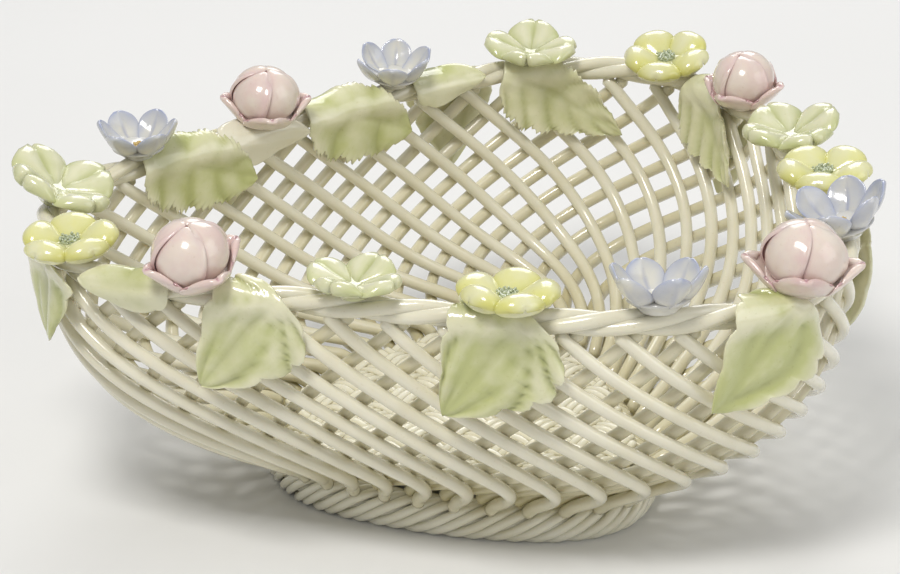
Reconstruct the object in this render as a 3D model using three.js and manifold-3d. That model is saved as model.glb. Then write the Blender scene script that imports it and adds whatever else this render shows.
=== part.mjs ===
// A footed, egg-shaped basket of openwork porcelain. Two layers of single clay strands are laid
// crosswise from a foot to a rim, a roped coil closes the rim, and modelled blossoms and leaves
// are set around it. Sizes are in millimetres, +X is the blunt end of the plan and +Z is up.
import * as THREE from 'three';
import { mergeVertices } from 'three/addons/utils/BufferGeometryUtils.js';
import Module from 'manifold-3d';

const solids = await Module();
solids.setup();

// The plan of the rim and of the foot, each measured to the middle of its rope.
const RIM_HALF_LENGTH = 96;
const RIM_HALF_WIDTH = 74;
const FOOT_HALF_LENGTH = 44;
const FOOT_HALF_WIDTH = 46.5;
const FOOT_OFFSET = 3.8;
const PLAN_SQUARENESS = 2.9;
const PLAN_TAPER_SHARE = 0.41;

// Heights and thicknesses of the ropes and strands.
const RIM_HEIGHT = 71.5;
const RIM_ROPE_DIAMETER = 6.6;
const FOOT_ROPE_HEIGHT = 10;
const FOOT_ROPE_WIDTH = 9;
const FOOT_GROUND_DEPTH = 1.5;
const STRAND_DIAMETER = 3.1;
const TOP_COIL_WIDTH = 3.3;
const LAYER_GAP = 0.8;
const CLEARANCE = 0.3;

// The bowl's curve from foot to rim: 2 is a quarter ellipse, more is a fuller belly. Under the
// belly it dips towards the foot, more steeply the higher the power, and lands on the shoulder of
// the foot rope, at this angle in degrees above the rope's middle.
const WALL_FULLNESS = 2.25;
const END_FULLNESS_SHARE = 0.08;
const DIP_DEPTH = 7.4;
const DIP_POWER = 3.5;
const LANDING_ANGLE = 47;

// How the strands are laid. A turn is a share of the way round the basket.
const GROUPS_PER_LAYER = 6;
const STRANDS_PER_GROUP = 7;
const STRAND_SIDES = 5;
const STRAND_STEPS = 8;
const STRAND_STEP_POWER = 1.35;
const OUTER_LAY = { turn: 1, rimTurnShare: 0.16, rimPower: 1.2, footTurnShare: 0.095, endShare: 0.985 };
const INNER_LAY = { turn: -1, rimTurnShare: 0.053, rimPower: 3.4, footTurnShare: 0.157, endShare: 1 };

// The ropes: ridges round the whole ring, and how far the ridges stand out of the section.
const ROPE_LOBES = 3;
const FOOT_RIDGES = 42;
const RIM_RIDGES = 24;
const RIDGE_SHARE = 0.07;

// Leaves: their usual size, thickness and the height where they start above the strand tops.
const LEAF_LENGTH = 28;
const LEAF_WIDTH = 26;
const LEAF_THICKNESS = 1.3;
const LEAF_RISE = 5.5;
const LEAF_STANDOFF = 0.55;
const LEAF_CURL = 3;

// Blossoms: span across the petals, depth from seat to petal tips, and thickness.
const PRIMROSE_SPAN = 24;
const PRIMROSE_DEPTH = 6.5;
const BLUEBELL_SPAN = 24;
const BLUEBELL_DEPTH = 8;
const SHAMROCK_SPAN = 25;
const SHAMROCK_DEPTH = 5.5;
const COLLAR_SPAN = 24;
const COLLAR_DEPTH = 4.5;
const BUD_DIAMETER = 17.5;
const BUD_HEIGHT = 15;
const PETAL_THICKNESS = 1.4;
const SEAT_DIAMETER = 5.5;
const STAMEN_DIAMETER = 4.6;
const STAMEN_HEIGHT = 2;

const QUARTER_TURN = Math.PI / 2;
const FULL_TURN = Math.PI * 2;
const DEGREE = Math.PI / 180;

const strandRadius = STRAND_DIAMETER / 2;
const rimRopeRadius = RIM_ROPE_DIAMETER / 2;
const layerOffset = (STRAND_DIAMETER + LAYER_GAP) / 2;
const seatDrop = rimRopeRadius + CLEARANCE + TOP_COIL_WIDTH / 2;
const wallTop = RIM_HEIGHT - seatDrop;
const matThickness = STRAND_DIAMETER + LAYER_GAP - CLEARANCE;
const footHalfRise = (FOOT_ROPE_HEIGHT + FOOT_GROUND_DEPTH) / 2;
const landing = landingPlace();

const glazes = {
  ivory: new THREE.MeshStandardMaterial({ color: 0xe8e5d3, roughness: 0.22, metalness: 0 }),
  leafGreen: new THREE.MeshStandardMaterial({ color: 0xc9d19c, roughness: 0.25, metalness: 0 }),
  paleGreen: new THREE.MeshStandardMaterial({ color: 0xd8e0b8, roughness: 0.24, metalness: 0 }),
  lemon: new THREE.MeshStandardMaterial({ color: 0xe9e7a0, roughness: 0.24, metalness: 0 }),
  sageCentre: new THREE.MeshStandardMaterial({ color: 0x9fb88a, roughness: 0.4, metalness: 0 }),
  skyBlue: new THREE.MeshStandardMaterial({ color: 0xc5cfdf, roughness: 0.22, metalness: 0 }),
  amberCentre: new THREE.MeshStandardMaterial({ color: 0xd8b45c, roughness: 0.4, metalness: 0 }),
  shellPink: new THREE.MeshStandardMaterial({ color: 0xe3cdc9, roughness: 0.22, metalness: 0 }),
};

// Where the wall ends, outwards from the foot rope's middle and up from the ground, so that the
// outer strands lie on the rope.
function landingPlace() {
  const reach = strandRadius + CLEARANCE;
  const out = Math.cos(LANDING_ANGLE * DEGREE) * (FOOT_ROPE_WIDTH / 2 + reach - layerOffset);
  const up = Math.sin(LANDING_ANGLE * DEGREE) * (footHalfRise + reach + layerOffset);
  return { out, height: FOOT_ROPE_HEIGHT - footHalfRise + up };
}

// Distance from the centre to an egg-shaped outline: a squared ellipse, wider towards +X.
function planRadius(angle, halfLength, halfWidth) {
  const along = Math.abs(Math.cos(angle)) / halfLength;
  const across = Math.abs(Math.sin(angle)) / (halfWidth * (1 + PLAN_TAPER_SHARE * Math.cos(angle)));
  return (along ** PLAN_SQUARENESS + across ** PLAN_SQUARENESS) ** (-1 / PLAN_SQUARENESS);
}

function planPoint(angle, halfLength, halfWidth) {
  const radius = planRadius(angle, halfLength, halfWidth);
  return new THREE.Vector2(radius * Math.cos(angle), radius * Math.sin(angle));
}

const landingHalfLength = FOOT_HALF_LENGTH + landing.out;
const landingHalfWidth = FOOT_HALF_WIDTH + landing.out;

const ROUND_STEPS = 720;

// The angle at which a given share of the rim's length has been walked.
function makeRimWalk() {
  const lengths = [0];
  let last = planPoint(0, RIM_HALF_LENGTH, RIM_HALF_WIDTH);
  for (let i = 1; i <= ROUND_STEPS; i += 1) {
    const next = planPoint(FULL_TURN * i / ROUND_STEPS, RIM_HALF_LENGTH, RIM_HALF_WIDTH);
    lengths.push(lengths[i - 1] + next.distanceTo(last));
    last = next;
  }
  return lengths;
}

const rimWalk = makeRimWalk();
const rimLength = rimWalk[ROUND_STEPS];

function angleAtShare(share) {
  const whole = Math.floor(share);
  const target = (share - whole) * rimLength;
  let step = 0;
  while (step < ROUND_STEPS - 1 && rimWalk[step + 1] < target) step += 1;
  const part = (target - rimWalk[step]) / (rimWalk[step + 1] - rimWalk[step]);
  return FULL_TURN * (whole + (step + part) / ROUND_STEPS);
}

// The bowl between the two strand layers. descent is 0 at the strand tops and 1 over the foot.
function wallPoint(angle, descent) {
  const fullness = WALL_FULLNESS * (1 + END_FULLNESS_SHARE * Math.cos(angle));
  const rise = QUARTER_TURN * (1 - Math.max(descent, 0));
  const spread = Math.sin(rise) ** (2 / fullness);
  const climb = 1 - Math.max(Math.cos(rise), 0) ** (2 / fullness);
  const footRadius = planRadius(angle, landingHalfLength, landingHalfWidth);
  const rimRadius = planRadius(angle, RIM_HALF_LENGTH, RIM_HALF_WIDTH);
  const radius = footRadius + (rimRadius - footRadius) * spread;
  const x = radius * Math.cos(angle) + FOOT_OFFSET * (1 - spread);
  const y = radius * Math.sin(angle);
  const level = landing.height + DIP_DEPTH;
  const dip = DIP_DEPTH * (1 - spread) ** DIP_POWER;
  return new THREE.Vector3(x, y, level + (wallTop - level) * climb - dip);
}

const PROBE_SHARE = 0.002;

// A place that stands off the bowl along its outward normal; above the tops it rises upright.
function offWall(angle, descent, offset) {
  const low = Math.min(Math.max(descent, 0) + PROBE_SHARE, 1);
  const down = wallPoint(angle, low).sub(wallPoint(angle, low - PROBE_SHARE));
  const round = wallPoint(angle + PROBE_SHARE, low).sub(wallPoint(angle - PROBE_SHARE, low));
  const normal = down.cross(round).normalize();
  const point = wallPoint(angle, descent).addScaledVector(normal, offset);
  point.z += Math.max(-descent, 0) * wallDepth;
  return { point, normal };
}

// The length of the bowl's curve down its side, which turns a depth into a descent.
function measureWallDepth() {
  let depth = 0;
  for (let i = 0; i < ROUND_STEPS; i += 1) {
    const here = wallPoint(QUARTER_TURN, i / ROUND_STEPS);
    depth += here.distanceTo(wallPoint(QUARTER_TURN, (i + 1) / ROUND_STEPS));
  }
  return depth;
}

const wallDepth = measureWallDepth();

// Rows of points joined into one closed skin. Columns always close on themselves; the rows close
// too on a ring, and on other pieces the first and last row are single points.
function closedSkin(rows, isRing) {
  const columns = Math.max(...rows.map((row) => row.length));
  const starts = [];
  const places = [];
  for (const row of rows) {
    starts.push(places.length / 3);
    for (const point of row) places.push(point.x, point.y, point.z);
  }
  const corner = (row, column) => starts[row] + (rows[row].length === 1 ? 0 : column % columns);
  const faces = [];
  const last = isRing ? rows.length : rows.length - 1;
  for (let row = 0; row < last; row += 1) {
    const next = (row + 1) % rows.length;
    for (let column = 0; column < columns; column += 1) {
      const [a, b] = [corner(row, column), corner(row, column + 1)];
      const [c, d] = [corner(next, column + 1), corner(next, column)];
      if (a !== b) faces.push(a, b, c);
      if (c !== d) faces.push(a, c, d);
    }
  }
  const geometry = new THREE.BufferGeometry();
  geometry.setAttribute('position', new THREE.Float32BufferAttribute(places, 3));
  geometry.setIndex(faces);
  return faceOutward(geometry);
}

// Turns the triangles over if the skin encloses a negative volume.
function faceOutward(geometry) {
  const at = geometry.attributes.position;
  const index = geometry.index.array;
  const [a, b, c] = [new THREE.Vector3(), new THREE.Vector3(), new THREE.Vector3()];
  let volume = 0;
  for (let i = 0; i < index.length; i += 3) {
    a.fromBufferAttribute(at, index[i]);
    b.fromBufferAttribute(at, index[i + 1]);
    c.fromBufferAttribute(at, index[i + 2]);
    volume += a.dot(b.cross(c));
  }
  if (volume < 0) {
    for (let i = 0; i < index.length; i += 3) {
      [index[i], index[i + 1]] = [index[i + 1], index[i]];
    }
  }
  return geometry;
}

// A rod of clay carried along a row of places on the bowl. The first flat of its section faces
// along the bowl's normal, towards the other layer of strands when facing is -1.
function rod(places, sides, radius, facing) {
  const rows = [[places[0].point]];
  places.forEach(({ point, normal }, i) => {
    const before = places[Math.max(i - 1, 0)].point;
    const after = places[Math.min(i + 1, places.length - 1)].point;
    const along = after.clone().sub(before).normalize();
    const across = normal.clone().cross(along).normalize();
    const outward = along.clone().cross(across);
    const ring = [];
    for (let j = 0; j < sides; j += 1) {
      const turn = FULL_TURN * (j + 1 / 2) / sides;
      const corner = point.clone().addScaledVector(across, radius * Math.sin(turn));
      ring.push(corner.addScaledVector(outward, facing * radius * Math.cos(turn)));
    }
    rows.push(ring);
  });
  rows.push([places[places.length - 1].point]);
  return closedSkin(rows, false);
}

function toSolid(geometry) {
  const bare = geometry.clone();
  bare.deleteAttribute('normal');
  bare.deleteAttribute('uv');
  const merged = mergeVertices(bare);
  return new solids.Manifold(new solids.Mesh({
    numProp: 3,
    vertProperties: new Float32Array(merged.attributes.position.array),
    triVerts: new Uint32Array(merged.index.array),
  }));
}

function toGeometry(solid) {
  const mesh = solid.getMesh();
  const geometry = new THREE.BufferGeometry();
  geometry.setAttribute('position', new THREE.Float32BufferAttribute(mesh.vertProperties, 3));
  geometry.setIndex([...mesh.triVerts]);
  return geometry;
}

// Welds touching pieces of clay into one body.
function weld(geometries) {
  return toGeometry(geometries.map(toSolid).reduce((whole, piece) => whole.add(piece)));
}

// One strand, from its top under the rim to its end over the foot. In plan it runs from a point
// on the rim, which drifts round as it falls, towards a fixed point on the foot.
function strand(startShare, lay, offset) {
  const footShare = startShare + lay.turn * lay.footTurnShare;
  const footPoint = planPoint(angleAtShare(footShare), landingHalfLength, landingHalfWidth);
  const places = [];
  for (let i = 0; i <= STRAND_STEPS; i += 1) {
    const descent = lay.endShare * (1 - (1 - i / STRAND_STEPS) ** STRAND_STEP_POWER);
    const drift = lay.rimTurnShare * (1 - (1 - descent) ** lay.rimPower);
    const rimAngle = angleAtShare(startShare + lay.turn * drift);
    const spread = Math.sin(QUARTER_TURN * (1 - descent)) ** (2 / WALL_FULLNESS);
    const plan = planPoint(rimAngle, RIM_HALF_LENGTH, RIM_HALF_WIDTH).multiplyScalar(spread);
    plan.addScaledVector(footPoint, 1 - spread);
    places.push(offWall(Math.atan2(plan.y, plan.x), descent, offset));
  }
  return rod(places, STRAND_SIDES, strandRadius, -Math.sign(offset));
}

// The coil that the tops of one group of strands are welded to, just under the rim rope. It is
// square in section, so that each strand enters it through its flat underside.
function topCoil(firstShare, lastShare, offset, steps) {
  const places = [];
  for (let i = 0; i <= steps; i += 1) {
    const share = firstShare + (lastShare - firstShare) * i / steps;
    places.push(offWall(angleAtShare(share), 0, offset));
  }
  return rod(places, 4, TOP_COIL_WIDTH * Math.SQRT1_2, 1);
}

function strandGroup(index, lay, offset) {
  const groupShare = 1 / GROUPS_PER_LAYER;
  const trimShare = 2 * CLEARANCE / rimLength;
  const coilStart = index * groupShare + trimShare;
  const coilEnd = (index + 1) * groupShare - trimShare;
  const pieces = [topCoil(coilStart, coilEnd, offset, STRANDS_PER_GROUP)];
  for (let i = 0; i < STRANDS_PER_GROUP; i += 1) {
    const share = (index + (i + 1 / 2) / STRANDS_PER_GROUP) * groupShare;
    pieces.push(strand(share, lay, offset));
  }
  return weld(pieces);
}

// A rope: a lobed section that turns as it goes round, pressed flat where it meets the ground.
function rope(halfLength, halfWidth, centre, halfSpan, halfRise, ridges, alongSteps, aroundSteps) {
  const rows = [];
  for (let i = 0; i < alongSteps; i += 1) {
    const angle = angleAtShare(i / alongSteps);
    const here = planPoint(angle, halfLength, halfWidth);
    const ahead = planPoint(angle + PROBE_SHARE, halfLength, halfWidth);
    const outward = new THREE.Vector2(ahead.y - here.y, here.x - ahead.x).normalize();
    const lay = FULL_TURN * ridges * i / alongSteps;
    const row = [];
    for (let j = 0; j < aroundSteps; j += 1) {
      const turn = FULL_TURN * (j + 1 / 2) / aroundSteps;
      const swell = 1 - RIDGE_SHARE + RIDGE_SHARE * Math.cos(ROPE_LOBES * turn - lay);
      const side = halfSpan * swell * Math.cos(turn);
      const z = Math.max(centre.z + halfRise * swell * Math.sin(turn), 0);
      row.push(new THREE.Vector3(centre.x + here.x + outward.x * side, here.y + outward.y * side, z));
    }
    rows.push(row);
  }
  return closedSkin(rows, true);
}

function footRing() {
  const centre = new THREE.Vector3(FOOT_OFFSET, 0, FOOT_ROPE_HEIGHT - footHalfRise);
  const steps = 2 * FOOT_RIDGES;
  const halfSpan = FOOT_ROPE_WIDTH / 2;
  return rope(FOOT_HALF_LENGTH, FOOT_HALF_WIDTH, centre, halfSpan, footHalfRise, FOOT_RIDGES, steps, 8);
}

function rimRope() {
  const centre = new THREE.Vector3(0, 0, RIM_HEIGHT);
  const steps = 3 * RIM_RIDGES;
  return rope(RIM_HALF_LENGTH, RIM_HALF_WIDTH, centre, rimRopeRadius, rimRopeRadius, RIM_RIDGES, steps, 6);
}

const MAT_CORNERS = 48;

// The floor's weave: the width that a bundle of strands takes, how far it sinks between two
// crossings, how far down the hole between four bundles goes, and the angle it is laid at.
const MAT_PITCH = 7.6;
const MAT_SINK = 0.8;
const MAT_HOLE_DEPTH = 1.6;
const MAT_TURN = 38;
const TRIM_OVERRUN = 1;

// The weave before it is trimmed to the floor's outline and flat underside. Every second row and
// column of points runs along the middle of a bundle, and the others run between two bundles.
function weave() {
  const step = MAT_PITCH / 2;
  const count = Math.ceil(Math.hypot(FOOT_HALF_LENGTH, FOOT_HALF_WIDTH) / step);
  const sinks = [0, MAT_SINK, MAT_HOLE_DEPTH];
  const rows = [[new THREE.Vector3(-count * step, 0, 0)]];
  for (let i = -count; i <= count; i += 1) {
    const row = [];
    for (let j = -count; j <= count; j += 1) {
      const sink = sinks[Math.abs(i % 2) + Math.abs(j % 2)];
      row.push(new THREE.Vector3(i * step, j * step, matThickness - sink));
    }
    for (let j = count; j >= -count; j -= 1) row.push(new THREE.Vector3(i * step, j * step, -TRIM_OVERRUN));
    rows.push(row);
  }
  rows.push([new THREE.Vector3(count * step, 0, 0)]);
  return closedSkin(rows, false).rotateZ(MAT_TURN * DEGREE);
}

// The woven floor, which lies on the foot rope's top inside the ends of the strands.
function baseMat() {
  const inset = CLEARANCE + strandRadius + layerOffset - landing.out;
  const corners = [];
  for (let i = 0; i < MAT_CORNERS; i += 1) {
    const angle = FULL_TURN * i / MAT_CORNERS;
    corners.push(planPoint(angle, FOOT_HALF_LENGTH - inset, FOOT_HALF_WIDTH - inset));
  }
  const outline = new THREE.Shape(corners);
  const plate = new THREE.ExtrudeGeometry(outline, { depth: matThickness, bevelEnabled: false });
  return toGeometry(toSolid(weave()).intersect(toSolid(plate)));
}

// Half widths of a toothed leaf at even steps from stalk to tip, as shares of its half width.
const leafWidthShares = [0.3, 0.86, 0.78, 1, 0.84, 0.74, 0.42];
const leafSectionShares = [-1, -0.5, 0, 0.5, 1, 0.5, 0, -0.5];
const leafFaceShares = [0, 1, 1, 1, 0, -1, -1, -1];

// A leaf laid against the bowl. heading 90 hangs straight down and curls away towards its tip;
// 0 or 180 lies along the rim and stays close to it.
function leaf({ share, side, heading, lengthShare, widthShare, riseShare }) {
  const length = LEAF_LENGTH * lengthShare;
  const halfWidth = LEAF_WIDTH * widthShare / 2;
  const steps = leafWidthShares.length + 1;
  const [alongRim, downWall] = [Math.cos(heading * DEGREE), Math.sin(heading * DEGREE)];
  const nearFace = layerOffset + strandRadius + LEAF_STANDOFF + LEAF_THICKNESS / 2;
  const spot = (a, b, face) => {
    const [along, down] = [a * alongRim - b * downWall, a * downWall + b * alongRim];
    const curl = LEAF_CURL * downWall * ((a / length) ** 2 + Math.abs(b) / LEAF_WIDTH);
    const standoff = nearFace + curl + face * LEAF_THICKNESS / 2;
    const angle = angleAtShare(share + along / rimLength);
    return offWall(angle, (down - LEAF_RISE * riseShare) / wallDepth, side * standoff).point;
  };
  const rows = [[spot(0, 0, 0)]];
  leafWidthShares.forEach((width, i) => {
    const a = length * (i + 1 / 2) / steps;
    rows.push(leafSectionShares.map((b, j) => spot(a, b * width * halfWidth, leafFaceShares[j])));
  });
  rows.push([spot(length, 0, 0)]);
  return closedSkin(rows, false);
}

// A lobed cup of petals that opens upwards from a small seat. Each profile row is a share of the
// span, a share of the depth, a share of the thickness, and how strongly the petals divide there.
const corollaRowShares = [
  [0.7, 0.5, 0, 0.8], [1, 1, 0, 1], [0.7, 0.58, 1, 0.9],
];

function corolla({ span, depth, petals, notchShare, pointedness, columns }) {
  const rows = [[new THREE.Vector3(0, 0, 0)]];
  const ringOf = (radius, z, notch) => {
    const ring = [];
    for (let i = 0; i < columns; i += 1) {
      const turn = FULL_TURN * i / columns;
      const petal = Math.abs(Math.cos(petals * turn / 2)) ** pointedness;
      const reach = radius * (1 - notch * notchShare * (1 - petal));
      ring.push(new THREE.Vector3(reach * Math.cos(turn), reach * Math.sin(turn), z));
    }
    return ring;
  };
  rows.push(ringOf(SEAT_DIAMETER / 2, 0, 0));
  for (const [reach, height, thick, notch] of corollaRowShares) {
    rows.push(ringOf(reach * span / 2, height * depth + thick * PETAL_THICKNESS, notch));
  }
  rows.push(ringOf(STAMEN_DIAMETER / 2 + CLEARANCE, PETAL_THICKNESS, 0));
  rows.push([new THREE.Vector3(0, 0, PETAL_THICKNESS)]);
  return closedSkin(rows, false);
}

// A rounded knob from a profile of radius and height, with shallow ridges where petals overlap.
function knob(diameter, height, profileShares, columns, folds, foldShare) {
  const rows = [[new THREE.Vector3(0, 0, 0)]];
  profileShares.forEach(([reach, rise]) => {
    const ring = [];
    for (let i = 0; i < columns; i += 1) {
      const turn = FULL_TURN * i / columns;
      const radius = reach * (1 + foldShare * Math.cos(folds * turn)) * diameter / 2;
      ring.push(new THREE.Vector3(radius * Math.cos(turn), radius * Math.sin(turn), rise * height));
    }
    rows.push(ring);
  });
  rows.push([new THREE.Vector3(0, 0, height)]);
  return closedSkin(rows, false);
}

const budProfileShares = [[0.25, 0], [0.92, 0.28], [1, 0.52], [0.82, 0.8], [0.42, 0.98]];
const stamenProfileShares = [[0.8, 0], [1, 0.45], [0.6, 0.9]];

const primrose = () => corolla({
  span: PRIMROSE_SPAN, depth: PRIMROSE_DEPTH, petals: 5, notchShare: 0.32, pointedness: 0.6, columns: 20,
});
const bluebell = () => corolla({
  span: BLUEBELL_SPAN, depth: BLUEBELL_DEPTH, petals: 6, notchShare: 0.5, pointedness: 1, columns: 18,
});
const shamrock = () => corolla({
  span: SHAMROCK_SPAN, depth: SHAMROCK_DEPTH, petals: 4, notchShare: 0.45, pointedness: 0.6, columns: 20,
});
const collar = () => corolla({
  span: COLLAR_SPAN, depth: COLLAR_DEPTH, petals: 5, notchShare: 0.2, pointedness: 0.7, columns: 20,
});
const bud = () => knob(BUD_DIAMETER, BUD_HEIGHT, budProfileShares, 12, 3, 0.04);
const stamens = () => knob(STAMEN_DIAMETER, STAMEN_HEIGHT, stamenProfileShares, 8, 4, 0.1);

// What each kind of blossom is made of, from the seat upwards.
const blossomKinds = {
  yellow: [['petals', primrose, 'lemon', 0], ['stamens', stamens, 'sageCentre', PETAL_THICKNESS + CLEARANCE]],
  blue: [['petals', bluebell, 'skyBlue', 0], ['stamens', stamens, 'amberCentre', PETAL_THICKNESS + CLEARANCE]],
  green: [['petals', shamrock, 'paleGreen', 0]],
  pink: [['collar', collar, 'shellPink', 0], ['bud', bud, 'shellPink', PETAL_THICKNESS + CLEARANCE]],
};

// Where the blossoms sit: share of the way round the rim, lean outwards and spin in degrees, and
// the blossom's share of the usual size.
const blossomPlaceShares = [
  ['green', 0.013, -8, 10, 1.04], ['pink', 0.064, -12, 40, 0.93], ['yellow', 0.128, -12, 25, 1],
  ['green', 0.191, -9, 70, 0.94], ['blue', 0.267, -5, 15, 0.9], ['pink', 0.342, -10, 0, 0.97],
  ['blue', 0.409, 0, 50, 0.92], ['green', 0.473, -14, 30, 1.14], ['yellow', 0.537, 6, 5, 1],
  ['pink', 0.598, 14, 20, 1.03], ['green', 0.664, 14, 45, 0.9], ['yellow', 0.725, 8, 60, 1.02],
  ['blue', 0.786, -4, 35, 1.06], ['pink', 0.849, 12, 75, 1.12], ['blue', 0.908, -12, 0, 1.07],
  ['yellow', 0.967, -4, 30, 1.03],
];

// Where the leaves lie: share of the way round, outside or inside the wall, heading in degrees,
// and shares of the usual length, width and starting height.
const leafPlaceShares = [
  ['leaf_inside_left', 0.411, -1, 160, 1.25, 0.85, 1.2],
  ['leaf_inside_back_left', 0.320, -1, 157, 1.12, 0.8, 1.4],
  ['leaf_inside_back', 0.212, -1, 158, 1.38, 0.75, 0.72],
  ['leaf_inside_right', 0.116, -1, 122, 0.98, 0.65, 1.2],
  ['leaf_outside_left_end', 0.527, 1, 92, 0.62, 0.75, 1.2],
  ['leaf_outside_front_left', 0.628, 1, 113, 0.8, 1, 1.55],
  ['leaf_outside_front', 0.729, 1, 108, 0.75, 1.15, 1.3],
  ['leaf_outside_front_right', 0.846, 1, 142, 1.05, 0.9, 1.15],
  ['leaf_outside_right_end', 0.945, 1, 95, 0.85, 0.9, 1],
  ['leaf_outside_back_right', 0.100, 1, 88, 0.85, 0.95, 1],
  ['leaf_outside_back', 0.232, 1, 92, 0.8, 0.95, 1],
  ['leaf_outside_back_left', 0.355, 1, 90, 0.75, 0.9, 1],
  ['leaf_on_rim_back', 0.260, -1, 177, 0.8, 0.54, 1.2],
  ['leaf_on_rim_front_left', 0.586, 1, 177, 0.8, 0.5, 1.2],
];

function addMesh(parent, name, geometry, glaze, height = 0) {
  const mesh = new THREE.Mesh(geometry, glazes[glaze]);
  mesh.name = name;
  mesh.position.z = height;
  parent.add(mesh);
}

// A blossom is seated square on the rope's round surface, at its lean from the top of the rope.
function addBlossom(parent, [kind, share, lean, spin, sizeShare], number) {
  const angle = angleAtShare(share);
  const here = planPoint(angle, RIM_HALF_LENGTH, RIM_HALF_WIDTH);
  const ahead = planPoint(angle + PROBE_SHARE, RIM_HALF_LENGTH, RIM_HALF_WIDTH);
  const along = new THREE.Vector3(ahead.x - here.x, ahead.y - here.y, 0).normalize();
  const seat = new THREE.Group();
  seat.position.set(here.x, here.y, RIM_HEIGHT);
  seat.quaternion.setFromAxisAngle(along, lean * DEGREE);
  const flower = new THREE.Group();
  flower.position.z = rimRopeRadius + CLEARANCE;
  flower.rotation.z = spin * DEGREE;
  flower.scale.setScalar(sizeShare);
  for (const [piece, shape, glaze, height] of blossomKinds[kind]) {
    addMesh(flower, `${kind}_blossom_${number}_${piece}`, shape(), glaze, height);
  }
  seat.add(flower);
  parent.add(seat);
}

function buildBasket() {
  const basket = new THREE.Group();
  addMesh(basket, 'foot_ring', footRing(), 'ivory');
  const mat = new THREE.Group();
  mat.position.set(FOOT_OFFSET, 0, FOOT_ROPE_HEIGHT + CLEARANCE);
  addMesh(mat, 'base_mat', baseMat(), 'ivory');
  basket.add(mat);
  for (let i = 0; i < GROUPS_PER_LAYER; i += 1) {
    addMesh(basket, `outer_strands_${i + 1}`, strandGroup(i, OUTER_LAY, layerOffset), 'ivory');
    addMesh(basket, `inner_strands_${i + 1}`, strandGroup(i, INNER_LAY, -layerOffset), 'ivory');
  }
  addMesh(basket, 'rim_rope', rimRope(), 'ivory');
  for (const [name, share, side, heading, lengthShare, widthShare, riseShare] of leafPlaceShares) {
    addMesh(basket, name, leaf({ share, side, heading, lengthShare, widthShare, riseShare }), 'leafGreen');
  }
  blossomPlaceShares.forEach((place, i) => addBlossom(basket, place, i + 1));
  return basket;
}

// The origin is the middle of the basket's footprint, on the surface it stands on.
function centred(basket) {
  const box = new THREE.Box3().setFromObject(basket, true);
  const middle = box.getCenter(new THREE.Vector3());
  basket.position.set(-middle.x, -middle.y, -box.min.z);
  const whole = new THREE.Group();
  whole.add(basket);
  return whole;
}

const group = centred(buildBasket());

export default group;
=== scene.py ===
import math

import bpy
import numpy as np
from mathutils import Matrix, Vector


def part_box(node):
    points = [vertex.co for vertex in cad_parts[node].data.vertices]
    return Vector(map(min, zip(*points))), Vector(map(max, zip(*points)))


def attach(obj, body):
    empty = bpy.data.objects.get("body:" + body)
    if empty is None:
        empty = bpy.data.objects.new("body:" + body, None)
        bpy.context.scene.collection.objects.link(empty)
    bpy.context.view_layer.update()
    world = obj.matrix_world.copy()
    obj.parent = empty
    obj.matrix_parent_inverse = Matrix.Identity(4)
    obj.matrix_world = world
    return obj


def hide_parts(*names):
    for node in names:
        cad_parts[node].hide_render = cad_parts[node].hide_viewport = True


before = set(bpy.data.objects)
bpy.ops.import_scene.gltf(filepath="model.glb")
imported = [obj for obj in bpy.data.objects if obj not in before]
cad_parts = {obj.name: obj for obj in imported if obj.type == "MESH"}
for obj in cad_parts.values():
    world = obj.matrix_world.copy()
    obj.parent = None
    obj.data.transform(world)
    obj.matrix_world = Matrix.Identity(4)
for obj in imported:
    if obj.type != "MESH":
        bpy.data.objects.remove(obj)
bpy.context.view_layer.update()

# The foot is a rope of eight thin porcelain rolls, laid up in pairs and bent round into an
# egg-shaped ring. It carries the bowl, and its underside is ground flat where it stands.
# Lengths are in millimetres from the bowl's axis; make_piece turns them into the frame's metres.
MM = 0.001
FULL_TURN = 2 * math.pi
RIM_HALF_LENGTH, RIM_HALF_WIDTH = 96, 74
FOOT_HALF_LENGTH, FOOT_HALF_WIDTH, FOOT_OFFSET = 44, 46.5, 3.8
PLAN_SQUARENESS, PLAN_TAPER = 2.9, 0.41
FOOT_MIDDLE, FOOT_SPREAD, FOOT_RISE = 4.6, 3.2, 4.0
FOOT_ROLL_RADIUS, FOOT_CORE_RADIUS, FOOT_CORE_SPREAD = 1.33, 2.9, 0.3
FOOT_TURNS, FOOT_PAIRS, FOOT_PAIR_SPLIT = 9, 4, 0.054
FOOT_SHADE_START, FOOT_SHADE_DEPTH, FOOT_TOP_SHADE = 7.0, 3, 0.55
FOOT_STEPS, ROLL_COLUMNS, ROLL_SWELL = 300, 14, 0.035
WALK_STEPS, NUDGE = 2880, 1e-3
MAT_INSET = 0.8
IVORY = (0.80, 0.77, 0.63)
# The darker ivory is what the slow drift of tone and the painted shade mix in.
IVORY_DRIFT_AND_SHADE = (0.56, 0.50, 0.27)

mat_low, mat_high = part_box("base_mat")
PLAN_X = mat_high.x / MM - FOOT_OFFSET - FOOT_HALF_LENGTH + MAT_INSET
PLAN_Y = (mat_low.y + mat_high.y) / 2 / MM


def plan_radius(angle, half_length, half_width):
    """Egg outline as a distance from the middle: a squared ellipse, the power mean of the cosine
    over the length and the sine over a width that itself grows with the cosine towards +X."""
    along = np.abs(np.cos(angle)) / half_length
    across = np.abs(np.sin(angle)) / (half_width * (1 + PLAN_TAPER * np.cos(angle)))
    return (along**PLAN_SQUARENESS + across**PLAN_SQUARENESS) ** (-1 / PLAN_SQUARENESS)


def plan_point(angle, half_length, half_width):
    """The outline's point at each angle, as x and y on a last axis."""
    radius = plan_radius(angle, half_length, half_width)
    return np.stack([radius * np.cos(angle), radius * np.sin(angle)], -1)


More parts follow.
